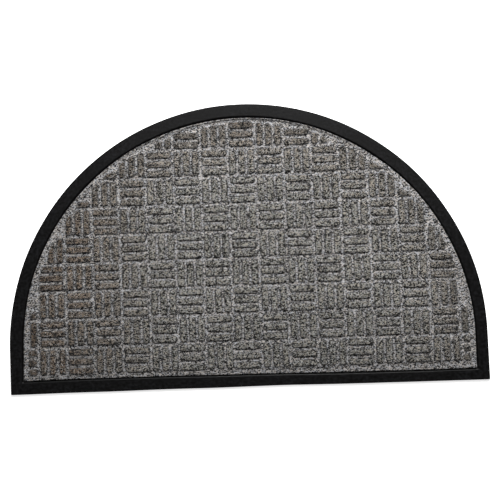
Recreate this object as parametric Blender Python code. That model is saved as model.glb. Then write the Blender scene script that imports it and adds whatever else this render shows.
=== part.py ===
# Half-round entrance mat in two pieces: a moulded rubber base with a raised border, and a
# needle-felt carpet panel that lies in it, pressed into a parquet of raised ribs.
# Metres, +Z up. The mat lies on z = 0 with its straight edge towards -Y and its curve towards +Y.
import math

import bmesh
import bpy
from mathutils import Matrix, Vector

# Outline: a half circle on a low rectangle
WIDTH = 0.750
DEPTH = 0.450
OUTER_RADIUS = WIDTH / 2
ARC_CENTRE_Y = DEPTH / 2 - OUTER_RADIUS
STRAIGHT_EDGE_Y = -DEPTH / 2
ARC_SEGMENTS = 72
CORNER_RADIUS = 0.002
CORNER_SEGMENTS = 3

# Rubber base, from the outer edge inwards; each step is how far it goes in and how far it rises
EDGE_HEIGHT = 0.0024
RIM_STEPS = (
    {"name": "outer slope", "inwards": 0.0030, "rise": 0.0016},
    {"name": "flat border", "inwards": 0.0159, "rise": 0.0},
    {"name": "inner lip", "inwards": 0.0007, "rise": -0.0006},
    {"name": "groove wall", "inwards": 0.0003, "rise": -0.0014},
)
FLOOR_HEIGHT = EDGE_HEIGHT + sum(step["rise"] for step in RIM_STEPS)

# Carpet panel, which lies on the base's floor with a hair's clearance
CLEARANCE = 0.0003
CARPET_INSET = 0.0215
CARPET_BOTTOM = FLOOR_HEIGHT + CLEARANCE
GROUND_HEIGHT = 0.0043
EDGE_ROUND = 0.0006

# Parquet of ribs: square blocks of three ribs, turned a quarter from each block to the next.
# The pattern lies a little off the mat's middle and a little askew, as pressed.
BLOCK = 0.0440
RIBS_IN_BLOCK = 3
RIB_PITCH = BLOCK / RIBS_IN_BLOCK
RIB_WIDTH = 0.0104
RIB_LENGTH = 0.0390
RIB_TOP = 0.0060
RIB_SINK = 0.0008
PATTERN_X = -0.0025
PATTERN_TOP_Y = 0.1758
PATTERN_TURN = math.radians(0.2)
BLOCK_ROWS = 9
BLOCK_COLUMNS_EACH_SIDE = 8
FIELD_INSET = 0.0290
SHORTEST_RIB = 0.0080
CLIP_SAMPLES = 40

RUBBER = {"name": "black rubber", "colour": (0.018, 0.018, 0.019, 1.0), "roughness": 0.62}
FELT = {"name": "grey brown felt", "colour": (0.125, 0.115, 0.105, 1.0), "roughness": 0.95}


def clear_scene():
    for old in list(bpy.data.objects):
        bpy.data.objects.remove(old, do_unlink=True)


def make_collection(name):
    collection = bpy.data.collections.new(name)
    bpy.context.scene.collection.children.link(collection)
    return collection


def plain_material(finish):
    material = bpy.data.materials.new(finish["name"])
    material.use_nodes = True
    shader = material.node_tree.nodes["Principled BSDF"]
    shader.inputs["Base Color"].default_value = finish["colour"]
    shader.inputs["Roughness"].default_value = finish["roughness"]
    shader.inputs["Metallic"].default_value = 0.0
    return material


def half_round_face(bm, inset, z, corner_radius):
    """One flat face that looks up, with the mat's outline brought in by inset all round."""
    others = set(bm.faces)
    disc = bmesh.ops.create_circle(
        bm, cap_ends=True, radius=OUTER_RADIUS - inset, segments=2 * ARC_SEGMENTS
    )["verts"]
    bmesh.ops.translate(bm, verts=disc, vec=(0, ARC_CENTRE_Y, z))
    rim = {e for v in disc for e in v.link_edges}
    caps = {f for v in disc for f in v.link_faces}
    cut = bmesh.ops.bisect_plane(
        bm,
        geom=disc + list(rim) + list(caps),
        plane_co=(0, ARC_CENTRE_Y, z),
        plane_no=(0, -1, 0),
        clear_outer=True,
    )["geom_cut"]
    ends = {g for g in cut if isinstance(g, bmesh.types.BMVert)}
    chord = [e for v in ends for e in v.link_edges if all(u in ends for u in e.verts)][:1]
    added = bmesh.ops.extrude_edge_only(bm, edges=chord)["geom"]
    corners = [g for g in added if isinstance(g, bmesh.types.BMVert)]
    for corner in corners:
        corner.co.y = STRAIGHT_EDGE_Y + inset
    bmesh.ops.dissolve_edges(bm, edges=chord, use_verts=False)
    bmesh.ops.bevel(
        bm,
        geom=corners,
        offset=corner_radius,
        segments=CORNER_SEGMENTS,
        profile=0.5,
        affect="VERTICES",
    )
    (face,) = set(bm.faces) - others
    face.normal_update()
    if face.normal.z < 0:
        face.normal_flip()
    return face


def stacked_solid(levels):
    """A solid whose wall runs through the outlines of its levels, closed below the first and above the last."""
    bm = bmesh.new()
    faces = [
        half_round_face(bm, level["inset"], level["z"], level["corner"]) for level in levels
    ]
    for lower, upper in zip(faces, faces[1:]):
        start = min(upper.verts[:], key=lambda v: (v.co - lower.verts[0].co).length)
        shift = upper.verts[:].index(start)
        above = upper.verts[shift:] + upper.verts[:shift]
        below = lower.verts[:]
        for i, corner in enumerate(below):
            bm.faces.new((below[i - 1], corner, above[i], above[i - 1]))
    bmesh.ops.delete(bm, geom=faces[1:-1], context="FACES_ONLY")
    bmesh.ops.recalc_face_normals(bm, faces=bm.faces[:])
    return bm


def finish_object(bm, name, material, collection):
    mesh = bpy.data.meshes.new(name)
    bm.to_mesh(mesh)
    bm.free()
    mesh.materials.append(material)
    piece = bpy.data.objects.new(name, mesh)
    collection.objects.link(piece)
    return piece


def make_rubber_base(collection, material):
    levels = [{"inset": 0.0, "z": 0.0, "corner": CORNER_RADIUS}]
    inset, z = 0.0, EDGE_HEIGHT
    levels.append({"inset": inset, "z": z, "corner": CORNER_RADIUS})
    for step in RIM_STEPS:
        inset, z = inset + step["inwards"], z + step["rise"]
        levels.append({"inset": inset, "z": z, "corner": CORNER_RADIUS})
    return finish_object(stacked_solid(levels), "rubber_base", material, collection)


def pattern_frame():
    """From the parquet's own axes, with the top middle block at its origin, to the mat's."""
    return Matrix.Translation((PATTERN_X, PATTERN_TOP_Y, 0.0)) @ Matrix.Rotation(PATTERN_TURN, 4, "Z")


def inside_field(x, y):
    """Whether a point lies in the pressed field, which keeps its distance from the carpet's edge."""
    radius = OUTER_RADIUS - FIELD_INSET
    if y < STRAIGHT_EDGE_Y + FIELD_INSET or abs(x) > radius:
        return False
    return y < ARC_CENTRE_Y or math.hypot(x, y - ARC_CENTRE_Y) < radius


def length_in_field(middle, along):
    """How much of a rib's centre line lies in the field."""
    shares = [(i + 0.5) / CLIP_SAMPLES - 0.5 for i in range(CLIP_SAMPLES)]
    points = [middle + along * (share * RIB_LENGTH) for share in shares]
    return RIB_LENGTH * sum(inside_field(p.x, p.y) for p in points) / CLIP_SAMPLES


def rib_places():
    """Middle and turn of every rib, block by block from the top row down."""
    frame = pattern_frame()
    places = []
    for row in range(BLOCK_ROWS):
        for column in range(-BLOCK_COLUMNS_EACH_SIDE, BLOCK_COLUMNS_EACH_SIDE + 1):
            upright = (row + column) % 2 != 0
            for rib in range(RIBS_IN_BLOCK):
                beside = (rib - (RIBS_IN_BLOCK - 1) / 2) * RIB_PITCH
                shift = Vector((beside, 0, 0)) if upright else Vector((0, beside, 0))
                middle = frame @ (Vector((column * BLOCK, -row * BLOCK, 0)) + shift)
                turn = PATTERN_TURN + (math.pi / 2 if upright else 0.0)
                along = Vector((math.cos(turn), math.sin(turn), 0))
                if length_in_field(middle, along) > SHORTEST_RIB:
                    places.append((middle, turn))
    return places


def make_rib_cutter(collection):
    """All the ribs as loose bars that reach down into the carpet's ground."""
    bm = bmesh.new()
    bottom = GROUND_HEIGHT - RIB_SINK
    height = RIB_TOP - bottom
    for middle, turn in rib_places():
        place = Matrix.Translation((middle.x, middle.y, bottom + height / 2))
        size = Matrix.Diagonal((RIB_LENGTH, RIB_WIDTH, height, 1.0))
        bmesh.ops.create_cube(bm, size=1.0, matrix=place @ Matrix.Rotation(turn, 4, "Z") @ size)
    return hide_cutter(finish_object(bm, "rib_bars", plain_material(FELT), collection))


def make_field_cutter(collection):
    """The pressed field as a tall prism, to which the ribs are trimmed."""
    levels = [
        {"inset": FIELD_INSET, "z": 0.0, "corner": CORNER_RADIUS},
        {"inset": FIELD_INSET, "z": 2 * RIB_TOP, "corner": CORNER_RADIUS},
    ]
    prism = finish_object(stacked_solid(levels), "pressed_field", plain_material(FELT), collection)
    return hide_cutter(prism)


def hide_cutter(piece):
    piece.hide_render = True
    piece.display_type = "WIRE"
    return piece


def add_boolean(piece, cutter, operation):
    modifier = piece.modifiers.new(operation.lower(), "BOOLEAN")
    modifier.operation = operation
    modifier.object = cutter
    modifier.solver = "MANIFOLD"


def make_carpet_panel(collection, cutters, material):
    levels = [
        {"inset": CARPET_INSET, "z": CARPET_BOTTOM, "corner": CORNER_RADIUS},
        {"inset": CARPET_INSET, "z": GROUND_HEIGHT - EDGE_ROUND, "corner": CORNER_RADIUS},
        {"inset": CARPET_INSET + EDGE_ROUND, "z": GROUND_HEIGHT, "corner": CORNER_RADIUS},
    ]
    carpet = finish_object(stacked_solid(levels), "carpet_panel", material, collection)
    ribs = make_rib_cutter(cutters)
    add_boolean(ribs, make_field_cutter(cutters), "INTERSECT")
    add_boolean(carpet, ribs, "UNION")
    return carpet


def main():
    clear_scene()
    mat = make_collection("half_round_doormat")
    cutters = make_collection("cutters")
    make_rubber_base(mat, plain_material(RUBBER))
    make_carpet_panel(mat, cutters, plain_material(FELT))


main()
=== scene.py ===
# Half-round entrance mat: a moulded rubber base with a raised border, and a heathered needle-felt
# panel pressed into a parquet of ribs. Metres, +Z up, straight edge towards -Y.
import math
import random

import bmesh
import bpy
from mathutils import Matrix, Vector, noise
from mathutils.bvhtree import BVHTree


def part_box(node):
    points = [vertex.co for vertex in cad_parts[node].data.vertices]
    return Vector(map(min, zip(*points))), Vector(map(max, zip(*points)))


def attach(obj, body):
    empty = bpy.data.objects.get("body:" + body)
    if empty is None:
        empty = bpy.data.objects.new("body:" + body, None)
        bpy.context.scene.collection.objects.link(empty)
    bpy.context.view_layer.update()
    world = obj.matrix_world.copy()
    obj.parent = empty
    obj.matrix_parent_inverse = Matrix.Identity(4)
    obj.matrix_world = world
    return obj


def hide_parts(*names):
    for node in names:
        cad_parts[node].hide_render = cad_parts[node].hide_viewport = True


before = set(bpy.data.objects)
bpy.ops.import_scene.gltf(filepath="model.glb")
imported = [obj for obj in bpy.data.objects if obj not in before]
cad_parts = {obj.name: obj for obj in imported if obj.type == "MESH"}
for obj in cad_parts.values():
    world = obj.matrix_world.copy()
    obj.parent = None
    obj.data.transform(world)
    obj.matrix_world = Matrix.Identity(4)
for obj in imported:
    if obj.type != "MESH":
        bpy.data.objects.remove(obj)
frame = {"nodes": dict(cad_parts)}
print("frame loaded:", ", ".join(frame["nodes"]))
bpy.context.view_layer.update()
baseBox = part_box("rubber_base")
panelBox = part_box("carpet_panel")

outline = {
    "width": baseBox[1][0] - baseBox[0][0],
    "top": baseBox[1][1],
    "bottom": baseBox[0][1],
    "arcSegments": 144,  # over the half circle
    "straightCuts": 60,
    "uprightCuts": 6,
    "cornerSegments": 4,
    "mergeDistance": 0.000001,
    "wobble": 0.0006,  # how far the trimmed edge wanders
    "wobblePitch": 0.11,
    "pinch": 0.0012,  # how far the left corner is drawn in
    "sagLeft": 0.0011,  # and each corner down
    "sagRight": 0.0004,
    "bow": 0.0006,  # how far the straight edge bows up at its middle
}
outline["radius"] = outline["width"] / 2
outline["arcY"] = outline["top"] - outline["radius"]


def share(value):
    # Holds a value between 0 and 1
    return min(max(value, 0.0), 1.0)


def lowShare(y):
    # 0 where the arc ends, growing to 1 at the straight edge
    return share((outline["arcY"] - y) / (outline["arcY"] - outline["bottom"]))


def edgeWobble(x, y, seed):
    place = Vector((x, y, seed)) / outline["wobblePitch"]
    return outline["wobble"] * noise.noise(place)


laid = {  # how the felt lies in its base: a little low, to the right and askew
    "even": 0.0009,  # drawn in all round
    "right": 0.0011,
    "down": 0.0020,
    "lean": 0.0011,
    "sideFade": 0.7,  # how much of that is gone at the corners
    "bottom": -0.0004,
    "askew": 0.0016,
    "askewPitch": 0.9,
}


def sideDraw(x, y):
    # How much further in than its mean inset the felt's edge is, along the arc and the sides
    around = math.atan2(max(y - outline["arcY"], 0.0), x)
    draw = laid["even"] - laid["right"] * math.cos(around) + laid["down"] * math.sin(around)
    draw += laid["lean"] * math.sin(2 * around)
    return draw * (1 - laid["sideFade"] * lowShare(y))


def bottomDraw(x):
    return laid["bottom"] - laid["askew"] * math.sin(2 * math.pi * x / laid["askewPitch"])


def insideBy(inset, x, y):
    # Whether a point lies further in than inset, measured from the outline as the felt follows it
    reach = outline["radius"] - inset - sideDraw(x, y)
    if y < outline["bottom"] + inset + bottomDraw(x) or abs(x) > reach:
        return False
    return y < outline["arcY"] or math.hypot(x, y - outline["arcY"]) < reach


def warpCorner(vert):
    # The left corner is drawn in and down a little, and the straight edge bows up at its middle
    low = lowShare(vert.co.y)
    side = vert.co.x / outline["radius"]
    vert.co.x += outline["pinch"] * low * max(-side, 0.0) ** 3
    sag = outline["sagLeft"] if side < 0 else outline["sagRight"]
    bow = outline["bow"] * (1 - min(abs(side) * 2, 1.0) ** 2)
    vert.co.y += low * (bow - sag * side * side)


def cutLongest(bm, edges, cuts):
    longest = max(edges, key=lambda e: e.calc_length())
    bmesh.ops.subdivide_edges(bm, edges=[longest], cuts=cuts)


def addOutline(bm, inset, z, corner, seed=0.0, follow=0.0):
    # One loop of the mat's outline, brought in by inset, as a face that looks up; follow is how
    # much of the felt's uneven lie it takes on
    radius = outline["radius"] - inset
    before = set(bm.faces)
    disc = bmesh.ops.create_circle(
        bm, cap_ends=True, radius=radius, segments=2 * outline["arcSegments"]
    )["verts"]
    bmesh.ops.translate(bm, verts=disc, vec=(0, outline["arcY"], z))
    parts = disc + list({e for v in disc for e in v.link_edges})
    parts += list({f for v in disc for f in v.link_faces})
    cut = bmesh.ops.bisect_plane(
        bm,
        geom=parts,
        plane_co=(0, outline["arcY"], z),
        plane_no=(0, -1, 0),
        clear_outer=True,
    )["geom_cut"]
    ends = {g for g in cut if isinstance(g, bmesh.types.BMVert)}
    chord = [e for v in ends for e in v.link_edges if all(u in ends for u in e.verts)][:1]
    added = bmesh.ops.extrude_edge_only(bm, edges=chord)["geom"]
    corners = [g for g in added if isinstance(g, bmesh.types.BMVert)]
    for vert in corners:
        vert.co.y = outline["bottom"] + inset
    bmesh.ops.dissolve_edges(bm, edges=chord, use_verts=False)
    bmesh.ops.bevel(
        bm,
        geom=corners,
        offset=corner,
        segments=outline["cornerSegments"],
        profile=0.5,
        affect="VERTICES",
        material=-1,
    )
    (face,) = set(bm.faces) - before
    cutLongest(bm, face.edges, outline["straightCuts"])
    for side in (-1, 1):
        beside = [e for e in face.edges if all(v.co.x * side > 0 for v in e.verts)]
        cutLongest(bm, beside, outline["uprightCuts"])
    face.normal_update()
    if face.normal.z < 0:
        face.normal_flip()
    reach = corner * 1.01  # just past the rounded corner
    low, wide = outline["bottom"] + inset + reach, radius - reach
    for vert in face.verts:
        x, y = vert.co.x, vert.co.y
        outwards = Vector((x, max(y - outline["arcY"], 0.0), 0)).normalized()
        if y > low or abs(x) > wide:
            vert.co -= outwards * follow * sideDraw(x, y)
        if y < low:
            outwards = Vector((0, -1, 0))
            vert.co.y += follow * bottomDraw(x)
        vert.co += outwards * edgeWobble(x, y, seed)
        warpCorner(vert)
    return face


def joinLevels(bm, faces):
    # Walls between each outline and the next; the first stays as the bottom and the last as the top
    for lower, upper in zip(faces, faces[1:]):
        near = lower.verts[0].co
        start = min(range(len(upper.verts)), key=lambda i: (upper.verts[i].co - near).length)
        above = upper.verts[start:] + upper.verts[:start]
        below = lower.verts[:]
        for i, vert in enumerate(below):
            bm.faces.new((below[i - 1], vert, above[i], above[i - 1]))
    bmesh.ops.delete(bm, geom=faces[1:-1], context="FACES_ONLY")
    bmesh.ops.remove_doubles(bm, verts=bm.verts[:], dist=outline["mergeDistance"])
    bmesh.ops.recalc_face_normals(bm, faces=bm.faces[:])


def addObject(name, data):
    thing = bpy.data.objects.new(name, data)
    bpy.context.scene.collection.objects.link(thing)
    return thing


def meshObject(name, bm):
    mesh = bpy.data.meshes.new(name)
    bm.to_mesh(mesh)
    bm.free()
    return addObject(name, mesh)


def finishedMesh(thing, *others):
    # The object's mesh as its modifiers or its curve leave it; the objects themselves go
    graph = bpy.context.evaluated_depsgraph_get()
    mesh = bpy.data.meshes.new_from_object(thing.evaluated_get(graph))
    for old in (thing, *others):
        bpy.data.objects.remove(old, do_unlink=True)
    bm = bmesh.new()
    bm.from_mesh(mesh)
    bpy.data.meshes.remove(mesh)
    return bm


def makePiece(name, bm, material, sharpAngle):
    piece = meshObject(name, bm)
    piece.data.materials.append(material)
    piece.data.shade_smooth()
    piece.data.set_sharp_from_angle(angle=math.radians(sharpAngle))
    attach(piece, "root")
    return piece


# Shader helpers


def newMaterial(name):
    material = bpy.data.materials.new(name)
    material.use_nodes = True
    tree = material.node_tree
    shader = tree.nodes["Principled BSDF"]
    shader.inputs["Metallic"].default_value = 0.0
    place = tree.nodes.new("ShaderNodeTexCoord").outputs["Object"]
    return material, tree, shader, place


def addNode(tree, kind, values=None, links=None, **settings):
    node = tree.nodes.new(kind)
    for key, value in settings.items():
        setattr(node, key, value)
    for key, value in (values or {}).items():
        node.inputs[key].default_value = value
    for key, source in (links or {}).items():
        tree.links.new(source, node.inputs[key])
    return node


def mathNode(tree, operation, *inputs):
    node = tree.nodes.new("ShaderNodeMath")
    node.operation = operation
    for i, value in enumerate(inputs):
        if isinstance(value, (int, float)):
            node.inputs[i].default_value = value
        else:
            tree.links.new(value, node.inputs[i])
    return node.outputs[0]


def rampNode(tree, source, low, high, start=0.0, end=1.0):
    # Smooth step of source from low to high
    node = addNode(
        tree,
        "ShaderNodeMapRange",
        {"From Min": low, "From Max": high, "To Min": start, "To Max": end},
        {"Value": source},
        interpolation_type="SMOOTHSTEP",
    )
    return node.outputs["Result"]


def mixColour(tree, factor, first, second, blend="MIX"):
    node = tree.nodes.new("ShaderNodeMix")
    node.data_type = "RGBA"
    node.blend_type = blend
    for index, value in ((0, factor), (6, first), (7, second)):  # a colour mix's own sockets
        socket = node.inputs[index]
        if isinstance(value, (int, float)):
            socket.default_value = value
        elif isinstance(value, tuple):
            socket.default_value = (*value, 1.0)
        else:
            tree.links.new(value, socket)
    return node.outputs[2]


def scaleColour(tree, colour, gain):
    node = addNode(
        tree, "ShaderNodeVectorMath", None, {0: colour, "Scale": gain}, operation="SCALE"
    )
    return node.outputs["Vector"]


def noiseNode(tree, place, scale, detail=2.0, roughness=0.5):
    node = addNode(
        tree,
        "ShaderNodeTexNoise",
        {"Scale": scale, "Detail": detail, "Roughness": roughness},
        {"Vector": place},
    )
    return node.outputs["Fac"]


def addRelief(tree, shader, height, strength, depth):
    bump = addNode(
        tree, "ShaderNodeBump", {"Strength": strength, "Distance": depth}, {"Height": height}
    )
    tree.links.new(bump.outputs["Normal"], shader.inputs["Normal"])


def newGroup(name, inputs, outputs):
    group = bpy.data.node_groups.new(name, "ShaderNodeTree")
    for label, kind in inputs:
        group.interface.new_socket(label, in_out="INPUT", socket_type=kind)
    for label, kind in outputs:
        group.interface.new_socket(label, in_out="OUTPUT", socket_type=kind)
    entry = group.nodes.new("NodeGroupInput")
    leave = group.nodes.new("NodeGroupOutput")
    return group, entry.outputs, leave.inputs


heather = {
    "waveScale": 420.0,
    "wave": 0.0010,  # how far the fibres wander
    "turns": (12, 74, 131),  # a layer of fibres lies each of these ways
    "stretch": (0.58, 1.0, 0.5),  # so a fibre is longer than it is wide
    "standsOut": 0.26,  # past this far from the plain shade a fibre covers the layers below
    "fineness": 1.6,  # of the finest noise, against a fibre's width
    "fineDetail": 2.0,
    "fineRoughness": 0.7,
    "broken": 0.7,  # how much the finest noise breaks the shades up
}


def heatherGroup():
    # Matted fibres of mixed shades: 0 is a dark fibre, 0.5 the plain felt and 1 a light one
    group, entry, leave = newGroup(
        "heather",
        [("Place", "NodeSocketVector"), ("Fibre Width", "NodeSocketFloat")],
        [("Shade", "NodeSocketFloat"), ("Height", "NodeSocketFloat")],
    )
    scale = mathNode(group, "DIVIDE", 1.0, entry["Fibre Width"])
    wave = addNode(
        group,
        "ShaderNodeTexNoise",
        {"Scale": heather["waveScale"], "Detail": 1.0},
        {"Vector": entry["Place"]},
    ).outputs["Color"]
    bent = addNode(
        group,
        "ShaderNodeVectorMath",
        {1: (heather["wave"],) * 3},
        {0: wave, 2: entry["Place"]},
        operation="MULTIPLY_ADD",
    ).outputs["Vector"]
    shade = None
    for turn in heather["turns"]:
        turned = addNode(
            group,
            "ShaderNodeMapping",
            {"Rotation": (0, 0, math.radians(turn)), "Scale": heather["stretch"]},
            {"Vector": bent},
        ).outputs[0]
        cells = addNode(
            group, "ShaderNodeTexVoronoi", {"Randomness": 1.0}, {"Vector": turned, "Scale": scale}
        ).outputs["Color"]
        tone = addNode(group, "ShaderNodeSeparateColor", None, {"Color": cells}).outputs[0]
        if shade is None:
            shade = tone
            continue
        # A fibre that is much darker or lighter than the felt lies over the ones before it
        away = mathNode(group, "ABSOLUTE", mathNode(group, "SUBTRACT", tone, 0.5))
        over = mathNode(group, "GREATER_THAN", away, heather["standsOut"])
        links = {0: over, 2: shade, 3: tone}
        shade = addNode(group, "ShaderNodeMix", None, links, data_type="FLOAT").outputs[0]
    fine = addNode(
        group,
        "ShaderNodeTexNoise",
        {"Detail": heather["fineDetail"], "Roughness": heather["fineRoughness"]},
        {
            "Vector": entry["Place"],
            "Scale": mathNode(group, "MULTIPLY", scale, heather["fineness"]),
        },
    ).outputs["Fac"]
    half = mathNode(group, "MULTIPLY", shade, 0.5)
    height = mathNode(group, "ADD", half, mathNode(group, "MULTIPLY", fine, 0.5))
    uneven = mathNode(group, "SUBTRACT", fine, 0.5)
    uneven = mathNode(group, "MULTIPLY", uneven, heather["broken"])
    broken = mathNode(group, "ADD", shade, uneven)
    group.links.new(broken, leave["Shade"])
    group.links.new(height, leave["Height"])
    return group


def useGroup(tree, group, links, values):
    node = tree.nodes.new("ShaderNodeGroup")
    node.node_tree = group
    for key, source in links.items():
        tree.links.new(source, node.inputs[key])
    for key, value in values.items():
        node.inputs[key].default_value = value
    return node.outputs


# Rubber base

rubber = {
    "colour": (0.0006, 0.0005, 0.0005),
    "worn": (0.0062, 0.0063, 0.0074),
    "blotchScale": 22.0,
    "blotchWear": (0.3, 0.7, 0.4, 1.0),  # from and to, and how worn it is at each
    "grain": 0.0009,
    "mottle": 0.0042,
    "mottleWear": (0.42, 0.68),
    "mottleRough": (0.40, 0.60),
    "mottleRelief": 1.5,
    "roughness": 0.46,
    "smoother": 0.11,  # how far the mottling takes the roughness down
    "rougher": 0.13,  # and up
    "gloss": 0.116,
    "bumpStrength": 0.5,
    "bumpDepth": 0.0004,
    "floorHeight": 0.0020,
    "borderHeight": baseBox[1][2],
    "lipShare": 0.75,  # the part of the border's height above which it is worn
    "grooveInset": 0.0183,
    "corner": 0.0020,
    "sharpAngle": 50,
}


def rubberMaterial():
    material, tree, shader, place = newMaterial("black rubber")
    blotch = noiseNode(tree, place, rubber["blotchScale"], detail=3.0, roughness=0.6)
    mottle = noiseNode(tree, place, 1 / rubber["mottle"], detail=3.0, roughness=0.7)
    grain = noiseNode(tree, place, 1 / rubber["grain"], detail=2.0, roughness=0.6)
    height = addNode(tree, "ShaderNodeSeparateXYZ", None, {"Vector": place}).outputs["Z"]
    top = rubber["borderHeight"]
    lip = rampNode(tree, height, rubber["lipShare"] * top, top)
    patches = rampNode(tree, blotch, *rubber["blotchWear"])
    wear = mathNode(tree, "MULTIPLY", patches, rampNode(tree, mottle, *rubber["mottleWear"]))
    wear = mathNode(tree, "MULTIPLY", wear, lip)
    colour = mixColour(tree, wear, rubber["colour"], rubber["worn"])
    tree.links.new(colour, shader.inputs["Base Color"])
    smooth = rubber["roughness"] - rubber["smoother"]
    rough = rubber["roughness"] + rubber["rougher"]
    roughness = rampNode(tree, mottle, *rubber["mottleRough"], smooth, rough)
    tree.links.new(roughness, shader.inputs["Roughness"])
    shader.inputs["Specular IOR Level"].default_value = rubber["gloss"]
    relief = mathNode(tree, "MULTIPLY", mottle, rubber["mottleRelief"])
    relief = mathNode(tree, "ADD", grain, relief)
    addRelief(tree, shader, relief, rubber["bumpStrength"], rubber["bumpDepth"])
    return material


def makeRubberBase():
    # From the bottom's edge over the rim and the flat border into the groove
    top, floor, groove = rubber["borderHeight"], rubber["floorHeight"], rubber["grooveInset"]
    profile = (
        {"inset": 0.0005, "z": 0.0, "follow": 0.0},
        {"inset": 0.0001, "z": 0.0004, "follow": 0.0},
        {"inset": 0.0001, "z": top - 0.0008, "follow": 0.0},
        {"inset": 0.0003, "z": top - 0.0003, "follow": 0.0},
        {"inset": 0.0007, "z": top - 0.0001, "follow": 0.0},
        {"inset": 0.0013, "z": top, "follow": 0.0},
        {"inset": 0.0021, "z": top, "follow": 0.0},
        {"inset": groove - 0.0026, "z": top, "follow": 1.0},
        {"inset": groove - 0.0016, "z": top, "follow": 1.0},
        {"inset": groove - 0.0009, "z": top - 0.0003, "follow": 1.0},
        {"inset": groove - 0.0004, "z": top - 0.0009, "follow": 1.0},
        {"inset": groove - 0.0002, "z": floor + 0.0002, "follow": 1.0},
        {"inset": groove, "z": floor, "follow": 1.0},
    )
    bm = bmesh.new()
    loops = [
        addOutline(bm, level["inset"], level["z"], rubber["corner"], follow=level["follow"])
        for level in profile
    ]
    joinLevels(bm, loops)
    piece = makePiece("rubberBase", bm, rubberMaterial(), rubber["sharpAngle"])
    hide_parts("rubber_base")


# Felt panel with its pressed ribs

panel = {
    "inset": 0.0200,
    "bottom": panelBox[0][2],
    "ground": 0.0043,
    "ribTop": panelBox[1][2],
    "corner": 0.0015,
    "edgeSeed": 3.0,  # its cut edge wanders apart from the border's
    "sharpAngle": 65,
    "creaseInset": 0.0229,
    "creaseDepth": 0.0008,
    "creaseFrom": 0.75,  # starts this high up the arc, as a share of it, and grows to the top
    # the pressed line's painted shade, at its darkest
    "creaseShade": 0.95,
    "creaseWidth": 0.0024,
    "bandShade": 0.36,
    "light": (0.131, 0.129, 0.129),
    "rib": (0.0418, 0.0409, 0.0376),
    "brownRib": (0.0288, 0.0213, 0.0155),
    "ribFade": (0.0009, 0.0001),  # a rib's colour starts and is full this far below its top
    "rimRib": 0.65,  # ribs along the arc are darker
    "rimFade": (0.066, 0.040),  # starting and full this far in from the arc
    "treadArc": (0.13, 0.035),  # trodden brown along the arc, likewise
    "treadAcross": (0.34, -0.10, 0.35, 0.55),  # from x to x, and its strength at each
    "treadLeft": (-0.10, -0.33),
    "patchScale": 9.0,
    "patchTread": (0.35, 0.60, 0.70, 1.0),
    "tintScale": 380.0,
    "tintBlend": (0.40, 0.60),
    "coolTint": (0.96, 0.99, 1.04),
    "warmTint": (1.07, 1.00, 0.92),
    "fibreWidth": 0.00118,
    "darkFleck": 0.97,
    "darkShades": (0.48, 0.14),  # the fibres' shades from plain to darkest
    "paleFleck": 1.70,
    "paleFleckOnRibs": 5.20,
    "paleShades": (0.53, 0.92),
    "footShadow": 0.70,
    "footLow": (0.00001, 0.00006),  # the shadow grows this far above the ground
    "footHigh": (0.00008, 0.0006),  # and fades out this far below a rib's top
    # painted shade: the felt darker to the left and the bottom, where the light falls off
    "paintedShadeLeft": 0.17,
    "paintedShadeLeftOver": (-0.05, -0.30),  # from x to x
    "paintedShadeBottom": 0.18,
    "paintedShadeBottomOver": (-0.05, -0.19),  # from y to y
    "gloss": 0.15,
    "sheen": 0.1,
    "sheenRoughness": 0.6,
    "bumpStrength": 0.9,
    "bumpDepth": 0.0008,
}
parquet = {
    "block": 0.0440,
    "ribsInBlock": 3,
    "ribWidth": 0.0098,
    "ribLength": 0.0386,
    "flare": 0.0010,  # how much wider the foot of a rib is, each side
    "cornerRadius": 0.0040,
    "cornerSegments": 3,
    "sideCuts": 3,
    "crownInset": 0.0014,
    "startX": -0.0025,
    "startY": 0.1758,
    "turn": math.radians(0.2),
    "rows": 9,
    "columnsEachSide": 8,
    "fieldInset": 0.0280,
    "spanSteps": 160,  # along a rib, to find where the field ends
    "leastSpan": 0.001,
    "shortest": 0.0080,
    "wholeFrom": 0.98,  # the share of its length from which a rib counts as whole
    "seed": 41,
    "jitter": 0.00025,
    "sunk": 0.00012,
    "footHeight": 0.0005,  # up to here a rib stays as it is when its top is sunk
    "wander": 0.00035,
    "wanderPitch": 0.006,
    "creepRight": 0.0057,  # how far the pattern creeps outwards, growing towards the right end
    "creepLeft": 0.0024,  # and inwards, low on the left
    "creepTop": 0.12,  # the y where that starts, and the distance over which it grows
    "creepFall": 0.26,
    "creepStart": 0.03,  # the same, leftwards from the middle
    "creepGrow": 0.09,
    "sag": 0.0018,
    "sagY": 0.045,
    "sagSpread": 0.075,
}


def fieldSpan(middle, along):
    # The stretch of a line, from its middle, that lies in the pressed field
    steps = parquet["spanSteps"]
    half = parquet["ribLength"] / 2
    inside = []
    for i in range(steps + 1):
        reach = half * (2 * i / steps - 1)
        point = middle + along * reach
        if insideBy(parquet["fieldInset"], point.x, point.y):
            inside.append(reach)
    return (inside[0], inside[-1]) if inside else (0.0, 0.0)


def patternCreep(x, y):
    # The pattern isn't pressed quite square: it creeps to the right and sags in its upper half
    right = parquet["creepRight"] * max(x / outline["radius"], 0.0) ** 3
    low = share((parquet["creepTop"] - y) / parquet["creepFall"])
    aside = share((-x - parquet["creepStart"]) / parquet["creepGrow"])
    left = parquet["creepLeft"] * low * aside
    down = parquet["sag"] * math.exp(-(((y - parquet["sagY"]) / parquet["sagSpread"]) ** 2))
    return Vector((right + left, -down, 0))


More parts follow.
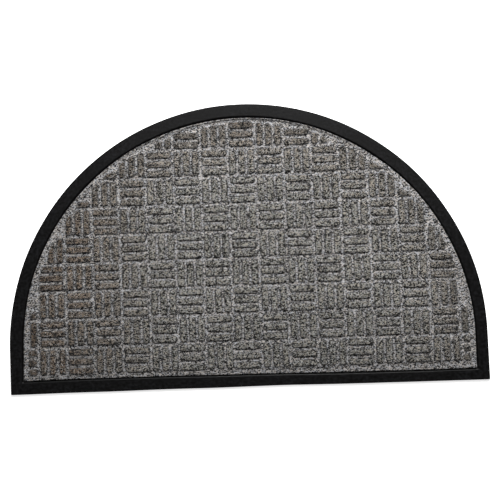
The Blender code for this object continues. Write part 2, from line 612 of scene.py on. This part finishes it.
def ribPlaces():
    pitch = parquet["block"] / parquet["ribsInBlock"]
    whole = Matrix.Translation((parquet["startX"], parquet["startY"], 0))
    whole = whole @ Matrix.Rotation(parquet["turn"], 4, "Z")
    for row in range(parquet["rows"]):
        for column in range(-parquet["columnsEachSide"], parquet["columnsEachSide"] + 1):
            upright = (row + column) % 2 != 0
            for rib in range(parquet["ribsInBlock"]):
                beside = (rib - (parquet["ribsInBlock"] - 1) / 2) * pitch
                shift = Vector((beside, 0, 0)) if upright else Vector((0, beside, 0))
                middle = whole @ (Vector((column, -row, 0)) * parquet["block"] + shift)
                middle += patternCreep(middle.x, middle.y)
                yield middle, parquet["turn"] + (math.pi / 2 if upright else 0.0)


def ribTemplate():
    # A bar with round corners and a soft top, its foot flared into the felt around it
    height = panel["ribTop"] - panel["ground"]
    levels = (
        {"out": parquet["flare"] * 1.3, "up": -0.0006},
        {"out": parquet["flare"], "up": 0.0},
        {"out": parquet["flare"] * 0.35, "up": 0.22 * height},
        {"out": 0.0, "up": 0.55 * height},
        {"out": -0.0007, "up": 0.84 * height},
        {"out": -0.0020, "up": 0.97 * height},
    )
    length, width, corner = parquet["ribLength"], parquet["ribWidth"], parquet["cornerRadius"]
    bm = bmesh.new()
    faces = []
    for level in levels:
        before = set(bm.faces)
        wide = Matrix.Diagonal((length + 2 * level["out"], width + 2 * level["out"], 1, 1))
        lift = Matrix.Translation((0, 0, panel["ground"] + level["up"]))
        square = bmesh.ops.create_grid(bm, x_segments=1, y_segments=1, size=0.5, matrix=lift @ wide)
        bmesh.ops.bevel(
            bm,
            geom=square["verts"],
            offset=corner + level["out"],
            segments=parquet["cornerSegments"],
            profile=0.5,
            affect="VERTICES",
            material=-1,
        )
        (face,) = set(bm.faces) - before
        for side in (-1, 1):
            beside = [e for e in face.edges if all(v.co.y * side > 0 for v in e.verts)]
            cutLongest(bm, beside, parquet["sideCuts"])
        faces.append(face)
    joinLevels(bm, faces)
    crown = max(bm.faces, key=lambda f: f.calc_center_median().z)
    bmesh.ops.inset_region(
        bm, faces=[crown], thickness=parquet["crownInset"], depth=0.03 * height
    )
    mesh = bpy.data.meshes.new("rib")
    bm.to_mesh(mesh)
    bm.free()
    return mesh


def fitToField(point, middle, along, across):
    # Draws a rib's ends back along it, so that it stops where the pressed field does
    half = parquet["ribLength"] / 2
    low, high = fieldSpan(middle + across * point.y, along)
    if high - low < parquet["leastSpan"]:
        low, high = fieldSpan(middle, along)
    room = (high - low) / 2
    if point.x < 0:
        return low + min(point.x + half, room)
    return high + max(point.x - half, -room)


def addRibs(bm, rng):
    noise.seed_set(parquet["seed"])  # or noise_vector differs from run to run
    template = ribTemplate()
    count = 0
    for middle, turn in ribPlaces():
        along = Vector((math.cos(turn), math.sin(turn), 0))
        across = Vector((-along.y, along.x, 0))
        low, high = fieldSpan(middle, along)
        if high - low < parquet["shortest"]:
            continue
        whole = high - low > parquet["ribLength"] * parquet["wholeFrom"]
        first = len(bm.verts)
        bm.from_mesh(template)
        bm.verts.ensure_lookup_table()
        slip = Vector((rng.gauss(0, 1), rng.gauss(0, 1), 0)) * parquet["jitter"]
        sunk = rng.uniform(-parquet["sunk"], 0.0)
        for vert in bm.verts[first:]:
            point = vert.co.copy()
            reach = point.x if whole else fitToField(point, middle, along, across)
            place = middle + slip + along * reach + across * point.y
            wander = noise.noise_vector(Vector((place.x, place.y, 0)) / parquet["wanderPitch"])
            wander *= parquet["wander"]
            wander.z = 0.0
            lowered = sunk if point.z > panel["ground"] + parquet["footHeight"] else 0.0
            vert.co = place + wander
            vert.co.z = point.z + lowered
        count += 1
    bpy.data.meshes.remove(template)
    return count


def creaseShare(x, y):
    # The panel's pressed line is deep along the top of the arc and fades out down its sides
    height = math.sin(math.atan2(max(y - outline["arcY"], 0.0), x))
    return share((height - panel["creaseFrom"]) / (1 - panel["creaseFrom"]))


def creaseShade(x, y):
    # Painted shade on the pressed line, and the felt's own darker band between that and its edge
    past = max(y - outline["arcY"], 0.0)
    inset = outline["radius"] + edgeWobble(x, y, panel["edgeSeed"]) - math.hypot(x, past)
    off = inset - sideDraw(x, y) - panel["creaseInset"]
    line = panel["creaseShade"] * max(0.0, 1 - abs(off) / panel["creaseWidth"])
    band = panel["bandShade"] if off < 0 else 0.0
    return creaseShare(x, y) * max(line, band)


def makeGroundSheet(bm):
    edge, crease = panel["inset"], panel["creaseInset"]
    ground, bottom = panel["ground"], panel["bottom"]
    profile = (
        {"inset": edge + 0.0002, "z": bottom, "drop": 0.0},
        {"inset": edge, "z": bottom + 0.0003, "drop": 0.0},
        {"inset": edge, "z": ground - 0.0007, "drop": 0.0},
        {"inset": edge + 0.0003, "z": ground - 0.0003, "drop": 0.0},
        {"inset": edge + 0.0010, "z": ground, "drop": 0.0},
        {"inset": crease - 0.0012, "z": ground, "drop": 0.0},
        {"inset": crease - 0.0005, "z": ground, "drop": 0.6},
        {"inset": crease, "z": ground, "drop": 1.0},
        {"inset": crease + 0.0005, "z": ground, "drop": 0.6},
        {"inset": crease + 0.0013, "z": ground, "drop": 0.0},
    )
    faces = []
    for level in profile:
        face = addOutline(
            bm, level["inset"], level["z"], panel["corner"], seed=panel["edgeSeed"], follow=1.0
        )
        for vert in face.verts:
            depth = level["drop"] * panel["creaseDepth"]
            vert.co.z -= depth * creaseShare(vert.co.x, vert.co.y)
        faces.append(face)
    joinLevels(bm, faces)


def arcReach(tree, axes):
    # How far a point lies from the arc's centre, or below that from the middle line
    past = mathNode(tree, "SUBTRACT", axes["Y"], outline["arcY"])
    past = mathNode(tree, "MAXIMUM", past, 0.0)
    across = mathNode(tree, "MULTIPLY", axes["X"], axes["X"])
    upwards = mathNode(tree, "MULTIPLY", past, past)
    return mathNode(tree, "SQRT", mathNode(tree, "ADD", across, upwards))


def towardsArc(tree, reach, insets, start=0.0, end=1.0):
    low, high = (outline["radius"] - inset for inset in insets)
    return rampNode(tree, reach, low, high, start, end)


def upTheRib(tree, height, start=0.0, end=1.0):
    # From start between the ribs to end on top of them
    low, high = (panel["ribTop"] - drop for drop in panel["ribFade"])
    return rampNode(tree, height, low, high, start, end)


def troddenMask(tree, place, axes, reach):
    # Browner towards the left side, and faintly along the arc, as if trodden in there
    nearArc = towardsArc(tree, reach, panel["treadArc"])
    leftwards = rampNode(tree, axes["X"], *panel["treadAcross"])
    nearLeft = rampNode(tree, axes["X"], *panel["treadLeft"])
    patches = noiseNode(tree, place, panel["patchScale"], detail=3.0, roughness=0.6)
    patches = rampNode(tree, patches, *panel["patchTread"])
    trodden = mathNode(tree, "MULTIPLY", nearArc, leftwards)
    trodden = mathNode(tree, "MAXIMUM", trodden, nearLeft)
    return mathNode(tree, "MULTIPLY", trodden, patches)


def feltColour(tree, place, shade):
    axes = addNode(tree, "ShaderNodeSeparateXYZ", None, {"Vector": place}).outputs
    reach = arcReach(tree, axes)
    trodden = troddenMask(tree, place, axes, reach)
    rib = mixColour(tree, trodden, panel["rib"], panel["brownRib"])
    rim = towardsArc(tree, reach, panel["rimFade"], 1.0, panel["rimRib"])
    rib = scaleColour(tree, rib, rim)
    plain = mixColour(tree, upTheRib(tree, axes["Z"]), panel["light"], rib)
    tint = noiseNode(tree, place, panel["tintScale"], detail=1.0)
    tint = rampNode(tree, tint, *panel["tintBlend"])
    tint = mixColour(tree, tint, panel["coolTint"], panel["warmTint"])
    tinted = mixColour(tree, 1.0, plain, tint, "MULTIPLY")
    # Dark fibres and pale ones, which show up more on the ribs
    darker = rampNode(tree, shade, *panel["darkShades"], 0.0, panel["darkFleck"])
    lighter = rampNode(tree, shade, *panel["paleShades"])
    pale = upTheRib(tree, axes["Z"], panel["paleFleck"], panel["paleFleckOnRibs"])
    lighter = mathNode(tree, "MULTIPLY", lighter, pale)
    gain = mathNode(tree, "ADD", mathNode(tree, "SUBTRACT", 1.0, darker), lighter)
    # Painted shadow at the ribs' foot, painted shade to the left and bottom, and the pressed line
    low, high = (panel["ground"] + rise for rise in panel["footLow"])
    foot = rampNode(tree, axes["Z"], low, high)
    low, high = (panel["ribTop"] - drop for drop in panel["footHigh"])
    foot = mathNode(tree, "MULTIPLY", foot, rampNode(tree, axes["Z"], low, high))
    shadow = mathNode(tree, "MULTIPLY", foot, panel["footShadow"])
    gain = mathNode(tree, "MULTIPLY", gain, mathNode(tree, "SUBTRACT", 1.0, shadow))
    # Painted shade: darker to the left and the bottom, where the light falls off
    paintedShadeLeft = rampNode(tree, axes["X"], *panel["paintedShadeLeftOver"], 1.0, 1.0 - panel["paintedShadeLeft"])
    paintedShadeBottom = rampNode(
        tree, axes["Y"], *panel["paintedShadeBottomOver"], 1.0, 1.0 - panel["paintedShadeBottom"]
    )
    gain = mathNode(tree, "MULTIPLY", gain, mathNode(tree, "MULTIPLY", paintedShadeLeft, paintedShadeBottom))
    # Painted shade along the pressed line, and the felt's own darker band by its edge
    crease = addNode(tree, "ShaderNodeAttribute", attribute_name="creaseShade").outputs["Fac"]
    gain = mathNode(tree, "MULTIPLY", gain, mathNode(tree, "SUBTRACT", 1.0, crease))
    return scaleColour(tree, tinted, gain)


def feltMaterial(group):
    material, tree, shader, place = newMaterial("heathered felt")
    felt = useGroup(tree, group, {"Place": place}, {"Fibre Width": panel["fibreWidth"]})
    tree.links.new(feltColour(tree, place, felt["Shade"]), shader.inputs["Base Color"])
    shader.inputs["Roughness"].default_value = 1.0
    shader.inputs["Specular IOR Level"].default_value = panel["gloss"]
    shader.inputs["Sheen Weight"].default_value = panel["sheen"]
    shader.inputs["Sheen Roughness"].default_value = panel["sheenRoughness"]
    addRelief(tree, shader, felt["Height"], panel["bumpStrength"], panel["bumpDepth"])
    return material


def joinSolid(ground, ribs):
    # Grows the ribs out of the ground sheet, so that the felt is one skin
    modifier = ground.modifiers.new("ribs", "BOOLEAN")
    modifier.operation = "UNION"
    modifier.solver = "MANIFOLD"
    modifier.object = ribs
    return finishedMesh(ground, ribs)


def makeCarpetPanel(group):
    ground = bmesh.new()
    makeGroundSheet(ground)
    ribs = bmesh.new()
    count = addRibs(ribs, random.Random(parquet["seed"]))
    print("felt panel:", count, "ribs")
    joined = joinSolid(meshObject("groundSheet", ground), meshObject("ribBars", ribs))
    felt = feltMaterial(group)
    piece = makePiece("carpetPanel", joined, felt, panel["sharpAngle"])
    shades = [creaseShade(v.co.x, v.co.y) for v in piece.data.vertices]
    piece.data.attributes.new("creaseShade", "FLOAT", "POINT").data.foreach_set("value", shades)
    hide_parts("carpet_panel")
    return piece


# Loose fibres that stand up from the felt

fibres = {
    "dark": {"count": 6500, "colour": (0.020, 0.016, 0.013), "seed": 7},
    "light": {"count": 6500, "colour": (0.62, 0.61, 0.60), "seed": 19},
    "length": (0.0025, 0.0075),
    "thickness": (0.00007, 0.00012),
    "bend": 0.9,  # radians, from one end to the other
    "bow": 0.0004,  # how far its middle stands up, at most
    "leastBow": 0.3,  # and at least, as a share of that
    "edgeMargin": 0.0208,
    "castHeight": 0.02,  # they are let down onto the felt from here
    "mergeDistance": 0.000002,
    "sharpAngle": 80,
    "toneScale": 160.0,
    "faint": 0.55,
    "bright": 1.4,
    "roughness": 0.7,
    "gloss": 0.3,
}


def fibreMaterial(name, colour):
    material, tree, shader, place = newMaterial(name)
    tone = noiseNode(tree, place, fibres["toneScale"], detail=1.0)
    faint = tuple(c * fibres["faint"] for c in colour)
    bright = tuple(min(c * fibres["bright"], 1.0) for c in colour)
    tree.links.new(mixColour(tree, tone, faint, bright), shader.inputs["Base Color"])
    shader.inputs["Roughness"].default_value = fibres["roughness"]
    shader.inputs["Specular IOR Level"].default_value = fibres["gloss"]
    return material


def makeFibres(name, facts, surface):
    rng = random.Random(facts["seed"])
    curve = bpy.data.curves.new(name, "CURVE")
    curve.dimensions = "3D"
    curve.bevel_depth = 1.0
    curve.bevel_resolution = 0
    curve.use_fill_caps = True
    made = 0
    while made < facts["count"]:
        x = rng.uniform(-1, 1) * outline["radius"]
        y = rng.uniform(outline["bottom"], outline["top"])
        heading = rng.uniform(0, 2 * math.pi)
        length = rng.uniform(*fibres["length"])
        bend = rng.uniform(-fibres["bend"], fibres["bend"])
        thickness = rng.uniform(*fibres["thickness"])
        bow = rng.uniform(fibres["leastBow"], 1.0) * fibres["bow"]
        points = []
        for step in (-1, 0, 1):
            turned = heading + bend * step / 2
            px = x + math.cos(turned) * step * length / 2
            py = y + math.sin(turned) * step * length / 2
            above = Vector((px, py, fibres["castHeight"]))
            hit = surface.ray_cast(above, Vector((0, 0, -1)))[0]
            if hit is None or not insideBy(fibres["edgeMargin"], px, py):
                break
            points.append(Vector((px, py, hit.z + (bow if step == 0 else -thickness))))
        if len(points) < 3:
            continue
        spline = curve.splines.new("POLY")
        spline.points.add(2)
        for point, place in zip(spline.points, points):
            point.co = (*place, 1.0)
            point.radius = thickness
        made += 1
    bm = finishedMesh(addObject(name + "Curve", curve))
    bmesh.ops.remove_doubles(bm, verts=bm.verts[:], dist=fibres["mergeDistance"])
    bmesh.ops.recalc_face_normals(bm, faces=bm.faces[:])
    material = fibreMaterial(name, facts["colour"])
    return makePiece(name, bm, material, fibres["sharpAngle"])


# Floor, light and camera

studio = {
    "floorSize": 40.0,
    "floorGap": 0.0003,  # the floor lies this far under the mat
    "floorColour": (0.97, 0.97, 0.97),
    "floorRoughness": 0.9,
    "floorGlow": 0.62,
    "lamps": {
        "key": {"place": (0.30, 2.1, 1.25), "size": 0.7, "power": 118.0},
        "soft": {"place": (0.10, 1.00, 1.45), "size": 0.45, "power": 13.0},
    },
    "fillStrength": 0.24,
    "backgroundStrength": 0.86,  # as pale as the floor's far end
    "cameraPlace": (0.00639, -0.16480, 1.61284),
    "cameraTilt": math.radians(5.477),
    "cameraRoll": math.radians(-1.844),
    "lens": 73.64,
    "sensor": 36.0,
}


def floorMaterial():
    material = bpy.data.materials.new("floor")
    material.use_nodes = True
    tree = material.node_tree
    shader = tree.nodes["Principled BSDF"]
    shader.inputs["Base Color"].default_value = (*studio["floorColour"], 1.0)
    shader.inputs["Roughness"].default_value = studio["floorRoughness"]
    shader.inputs["Emission Color"].default_value = (1.0, 1.0, 1.0, 1.0)
    shader.inputs["Emission Strength"].default_value = studio["floorGlow"]
    # The floor is clear from below, so that the underside can be looked at
    clear = tree.nodes.new("ShaderNodeBsdfTransparent").outputs["BSDF"]
    fromBelow = tree.nodes.new("ShaderNodeNewGeometry").outputs["Backfacing"]
    sides = {0: fromBelow, 1: shader.outputs["BSDF"], 2: clear}
    oneSided = addNode(tree, "ShaderNodeMixShader", None, sides).outputs[0]
    tree.links.new(oneSided, tree.nodes["Material Output"].inputs["Surface"])
    return material


def makeFloor():
    bm = bmesh.new()
    under = Matrix.Translation((0, 0, -studio["floorGap"]))
    bmesh.ops.create_grid(
        bm, x_segments=1, y_segments=1, size=studio["floorSize"] / 2, matrix=under
    )
    floor = meshObject("floor", bm)
    floor.data.materials.append(floorMaterial())


def makeLamp(name, facts):
    light = bpy.data.lights.new(name, "AREA")
    light.shape = "DISK"
    light.size = facts["size"]
    light.energy = facts["power"]
    lamp = addObject(name, light)
    lamp.location = facts["place"]
    lamp.rotation_euler = (-lamp.location).to_track_quat("-Z", "Y").to_euler()


def makeWorld():
    world = bpy.data.worlds.new("room")
    world.use_nodes = True
    tree = world.node_tree
    background = tree.nodes["Background"]
    background.inputs["Color"].default_value = (1.0, 1.0, 1.0, 1.0)
    # Dimmer as light than it looks to the camera
    seen = tree.nodes.new("ShaderNodeLightPath").outputs["Is Camera Ray"]
    strengths = studio["fillStrength"], studio["backgroundStrength"]
    tree.links.new(rampNode(tree, seen, 0.0, 1.0, *strengths), background.inputs["Strength"])
    bpy.context.scene.world = world
    bpy.context.scene.view_settings.view_transform = "Standard"


def makeCamera():
    camera = addObject("camera", bpy.data.cameras.new("camera"))
    camera.data.lens = studio["lens"]
    camera.data.sensor_width = studio["sensor"]
    turn = Matrix.Rotation(studio["cameraTilt"], 4, "X")
    turn = turn @ Matrix.Rotation(studio["cameraRoll"], 4, "Z")
    camera.matrix_world = Matrix.Translation(studio["cameraPlace"]) @ turn
    bpy.context.scene.camera = camera


makeFloor()
for lampName, lampFacts in studio["lamps"].items():
    makeLamp(lampName, lampFacts)
makeWorld()
makeCamera()
print("studio ready")
makeRubberBase()
print("rubber base ready")
carpet = makeCarpetPanel(heatherGroup())
skin = BVHTree.FromPolygons(
    [v.co for v in carpet.data.vertices], [p.vertices for p in carpet.data.polygons]
)
hairs = [makeFibres(name + "Fibres", fibres[name], skin) for name in ("dark", "light")]
print("fibres ready")
